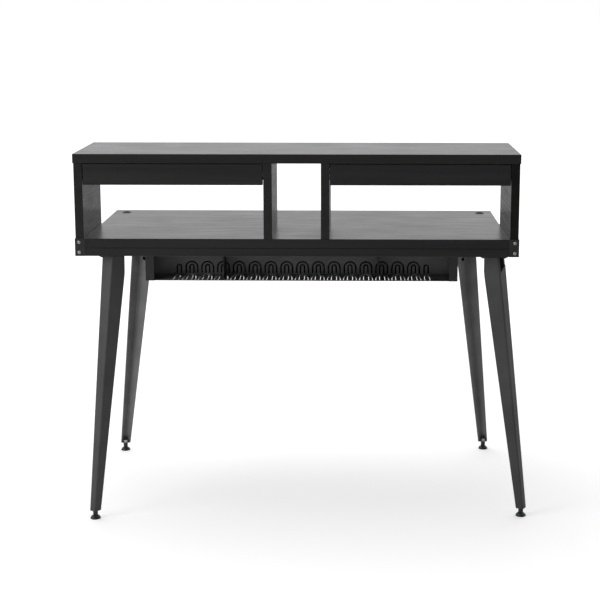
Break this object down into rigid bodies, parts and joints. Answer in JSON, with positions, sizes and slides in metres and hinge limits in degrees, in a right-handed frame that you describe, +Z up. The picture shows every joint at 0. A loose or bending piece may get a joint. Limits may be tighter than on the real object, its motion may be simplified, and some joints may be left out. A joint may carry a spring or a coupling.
{
  "type": "writing desk with drawers",
  "caption": "Black writing desk with a low hutch, hanging drawers, splayed folded-steel legs, levelling feet and a slotted cable tray.",
  "frame": {"origin": "on the floor under the middle of the footprint, which is the box around desktop and feet", "axes": "+X to the sitter's right along the desk, +Y to the back, +Z up"},
  "size_m": [1.184, 0.625, 0.964],
  "materials": {
    "black_laminate": "satin",
    "drawer_laminate": "satin",
    "drawer_box_board": "matte",
    "powder_coated_steel": "satin",
    "black_plate_steel": "matte",
    "black_plastic": "matte",
    "nickel_screws": "polished",
    "black_screws": "matte",
    "zinc_steel": "satin",
    "beech": "matte"
  },
  "bodies": {
    "desk": {"apron_screws": "zinc_steel", "back_apron": "black_laminate", "back_left_leg": "powder_coated_steel", "back_right_leg": "powder_coated_steel", "back_subrail": "black_laminate", "cable_tray": "powder_coated_steel", "corner_screws": "nickel_screws", "desktop": "black_laminate", "divider_screws": "zinc_steel", "end_rail_screws": "zinc_steel", "front_left_leg": "powder_coated_steel", "front_right_leg": "powder_coated_steel", "front_subrail": "black_laminate", "left_corner_plate": "black_plate_steel", "left_divider": "black_laminate", "left_drawer_fixed_rail_left": "zinc_steel", "left_drawer_fixed_rail_right": "zinc_steel", "left_end_rail": "black_laminate", "left_grommet": "black_plastic", "left_side_panel": "black_laminate", "left_tray_bracket": "powder_coated_steel", "leg_nuts": "zinc_steel", "leg_screws": "black_screws", "right_corner_plate": "black_plate_steel", "right_divider": "black_laminate", "right_drawer_fixed_rail_left": "zinc_steel", "right_drawer_fixed_rail_right": "zinc_steel", "right_end_rail": "black_laminate", "right_grommet": "black_plastic", "right_side_panel": "black_laminate", "right_tray_bracket": "powder_coated_steel", "shelf_dowels": "beech", "side_panel_screws": "zinc_steel", "slide_screws": "zinc_steel", "subrail_screws": "zinc_steel", "top_shelf": "black_laminate", "tray_hangers": "powder_coated_steel", "tray_screws": "black_screws"},
    "left_drawer": {"left_drawer_front": "drawer_laminate", "left_drawer_inner_front": "drawer_box_board", "left_drawer_left_side": "drawer_box_board", "left_drawer_right_side": "drawer_box_board", "left_drawer_back": "drawer_box_board", "left_drawer_bottom": "drawer_box_board", "left_drawer_screws": "zinc_steel", "left_drawer_runner_left": "zinc_steel", "left_drawer_runner_right": "zinc_steel"},
    "right_drawer": {"right_drawer_front": "drawer_laminate", "right_drawer_inner_front": "drawer_box_board", "right_drawer_left_side": "drawer_box_board", "right_drawer_right_side": "drawer_box_board", "right_drawer_back": "drawer_box_board", "right_drawer_bottom": "drawer_box_board", "right_drawer_screws": "zinc_steel", "right_drawer_runner_left": "zinc_steel", "right_drawer_runner_right": "zinc_steel"},
    "front_left_foot_body": {"front_left_foot": "black_plastic"},
    "front_right_foot_body": {"front_right_foot": "black_plastic"},
    "back_left_foot_body": {"back_left_foot": "black_plastic"},
    "back_right_foot_body": {"back_right_foot": "black_plastic"}
  },
  "joints": [
    {"name": "left_drawer_slide", "type": "slide", "parent": "desk", "child": "left_drawer", "axis": [0, -1, 0], "range_m": [0, 0.15]},
    {"name": "right_drawer_slide", "type": "slide", "parent": "desk", "child": "right_drawer", "axis": [0, -1, 0], "range_m": [0, 0.15]},
    {"name": "front_left_foot_screw", "type": "slide", "parent": "desk", "child": "front_left_foot_body", "axis": [0, 0, -1], "range_m": [0, 0.008]},
    {"name": "front_right_foot_screw", "type": "slide", "parent": "desk", "child": "front_right_foot_body", "axis": [0, 0, -1], "range_m": [0, 0.008]},
    {"name": "back_left_foot_screw", "type": "slide", "parent": "desk", "child": "back_left_foot_body", "axis": [0, 0, -1], "range_m": [0, 0.008]},
    {"name": "back_right_foot_screw", "type": "slide", "parent": "desk", "child": "back_right_foot_body", "axis": [0, 0, -1], "range_m": [0, 0.008]}
  ]
}
